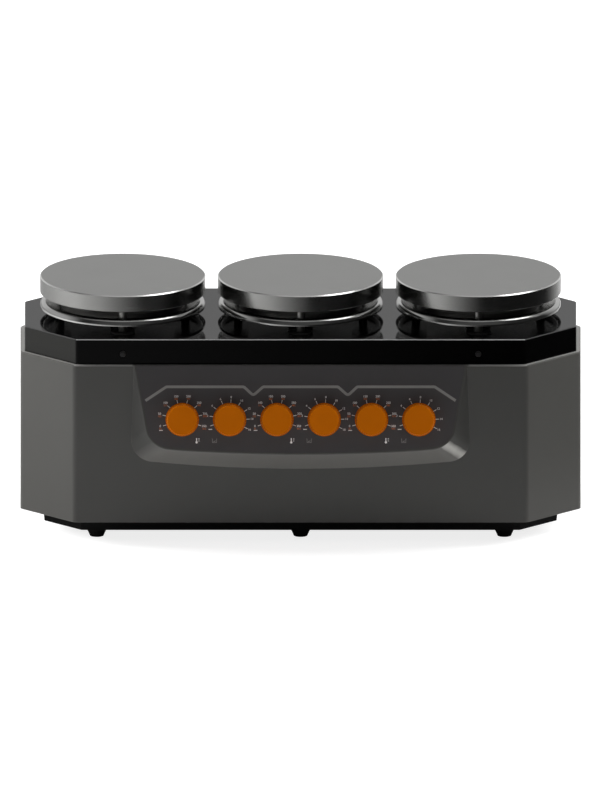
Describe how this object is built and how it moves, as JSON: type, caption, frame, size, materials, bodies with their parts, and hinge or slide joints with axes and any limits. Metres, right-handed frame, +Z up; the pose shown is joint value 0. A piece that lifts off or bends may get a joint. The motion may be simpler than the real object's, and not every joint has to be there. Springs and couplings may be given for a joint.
{
  "type": "magnetic stirrer",
  "caption": "Heated magnetic stirrer: round plates in a row over one long housing, a leaning front console with heat and speed knobs, and magnets turning under the plates.",
  "frame": {"origin": "on the bench, under the middle of the whole instrument's box", "axes": "+X to the right along the row of plates, +Y to the back, +Z up; the console faces -Y"},
  "size_m": [0.457, 0.2034, 0.2039],
  "materials": {
    "housing_paint": "satin dark grey coating",
    "glossy_black": "high gloss black",
    "tray_black": "matt black",
    "foot_rubber": "matt",
    "plate_metal": "brushed top, turned side",
    "shield_steel": "polished",
    "pan_steel": "brushed",
    "post_steel": "turned",
    "screw_steel": "plated",
    "screw_black": "blackened",
    "heater_cast": "as cast",
    "label_film": "satin film",
    "knob_orange": "satin",
    "motor_steel": "plated",
    "rotor_metal": "milled",
    "magnet_metal": "plated",
    "control_metal": "plated",
    "board_green": "circuit board",
    "grommet_rubber": "matt",
    "inlet_black": "satin",
    "pin_brass": "nickel plated",
    "switch_black": "satin"
  },
  "bodies": {
    "base": {"housing_shell": "housing_paint", "base_tray": "tray_black", "rubber_feet": "foot_rubber", "foot_screws": "screw_steel", "base_screws": "screw_black", "top_cover": "glossy_black", "cover_screws": "screw_black", "post_washers": "grommet_rubber", "lower_standoffs": "post_steel", "upper_standoffs": "post_steel", "plate_screws": "screw_steel", "temperature_sensors": "screw_steel", "cable_grommets": "grommet_rubber", "motor_screws": "screw_steel", "control_label": "label_film", "potentiometers": "control_metal", "bushing_nuts": "control_metal", "control_board": "board_green", "power_board": "board_green", "board_screws": "screw_steel", "power_inlet": "inlet_black", "inlet_pins": "pin_brass", "switch_bezel": "switch_black", "hot_plate_left": "plate_metal", "heating_element_left": "heater_cast", "heater_pan_left": "pan_steel", "heat_shield_left": "shield_steel", "stir_motor_left": "motor_steel", "hot_plate_centre": "plate_metal", "heating_element_centre": "heater_cast", "heater_pan_centre": "pan_steel", "heat_shield_centre": "shield_steel", "stir_motor_centre": "motor_steel", "hot_plate_right": "plate_metal", "heating_element_right": "heater_cast", "heater_pan_right": "pan_steel", "heat_shield_right": "shield_steel", "stir_motor_right": "motor_steel"},
    "rotor_left": {"magnet_rotor_left": "rotor_metal", "motor_shaft_left": "control_metal", "rotor_magnets_left": "magnet_metal"},
    "rotor_centre": {"magnet_rotor_centre": "rotor_metal", "motor_shaft_centre": "control_metal", "rotor_magnets_centre": "magnet_metal"},
    "rotor_right": {"magnet_rotor_right": "rotor_metal", "motor_shaft_right": "control_metal", "rotor_magnets_right": "magnet_metal"},
    "heat_knob_left": {"heat_knob_left": "knob_orange", "heat_shaft_left": "control_metal"},
    "speed_knob_left": {"speed_knob_left": "knob_orange", "speed_shaft_left": "control_metal"},
    "heat_knob_centre": {"heat_knob_centre": "knob_orange", "heat_shaft_centre": "control_metal"},
    "speed_knob_centre": {"speed_knob_centre": "knob_orange", "speed_shaft_centre": "control_metal"},
    "heat_knob_right": {"heat_knob_right": "knob_orange", "heat_shaft_right": "control_metal"},
    "speed_knob_right": {"speed_knob_right": "knob_orange", "speed_shaft_right": "control_metal"},
    "rocker": {"switch_rocker": "switch_black"}
  },
  "joints": [
    {"name": "rotor_left_spin", "type": "hinge", "parent": "base", "child": "rotor_left", "pos_m": [-0.145, 0.01102, 0.1663], "axis": [0, 0, 1], "continuous": true},
    {"name": "rotor_centre_spin", "type": "hinge", "parent": "base", "child": "rotor_centre", "pos_m": [0, 0.01102, 0.1663], "axis": [0, 0, 1], "continuous": true},
    {"name": "rotor_right_spin", "type": "hinge", "parent": "base", "child": "rotor_right", "pos_m": [0.145, 0.01102, 0.1663], "axis": [0, 0, 1], "continuous": true},
    {"name": "heat_knob_left_turn", "type": "hinge", "parent": "base", "child": "heat_knob_left", "pos_m": [-0.0965, -0.08341, 0.1069], "axis": [0, 0.9744, -0.225], "range_deg": [0, 234]},
    {"name": "speed_knob_left_turn", "type": "hinge", "parent": "base", "child": "speed_knob_left", "pos_m": [-0.0579, -0.08341, 0.1069], "axis": [0, 0.9744, -0.225], "range_deg": [0, 240]},
    {"name": "heat_knob_centre_turn", "type": "hinge", "parent": "base", "child": "heat_knob_centre", "pos_m": [-0.0193, -0.08341, 0.1069], "axis": [0, 0.9744, -0.225], "range_deg": [0, 234]},
    {"name": "speed_knob_centre_turn", "type": "hinge", "parent": "base", "child": "speed_knob_centre", "pos_m": [0.0193, -0.08341, 0.1069], "axis": [0, 0.9744, -0.225], "range_deg": [0, 240]},
    {"name": "heat_knob_right_turn", "type": "hinge", "parent": "base", "child": "heat_knob_right", "pos_m": [0.0579, -0.08341, 0.1069], "axis": [0, 0.9744, -0.225], "range_deg": [0, 234]},
    {"name": "speed_knob_right_turn", "type": "hinge", "parent": "base", "child": "speed_knob_right", "pos_m": [0.0965, -0.08341, 0.1069], "axis": [0, 0.9744, -0.225], "range_deg": [0, 240]},
    {"name": "power_switch_rock", "type": "hinge", "parent": "base", "child": "rocker", "pos_m": [-0.112, 0.09672, 0.0513], "axis": [1, 0, 0], "range_deg": [0, 20]}
  ]
}
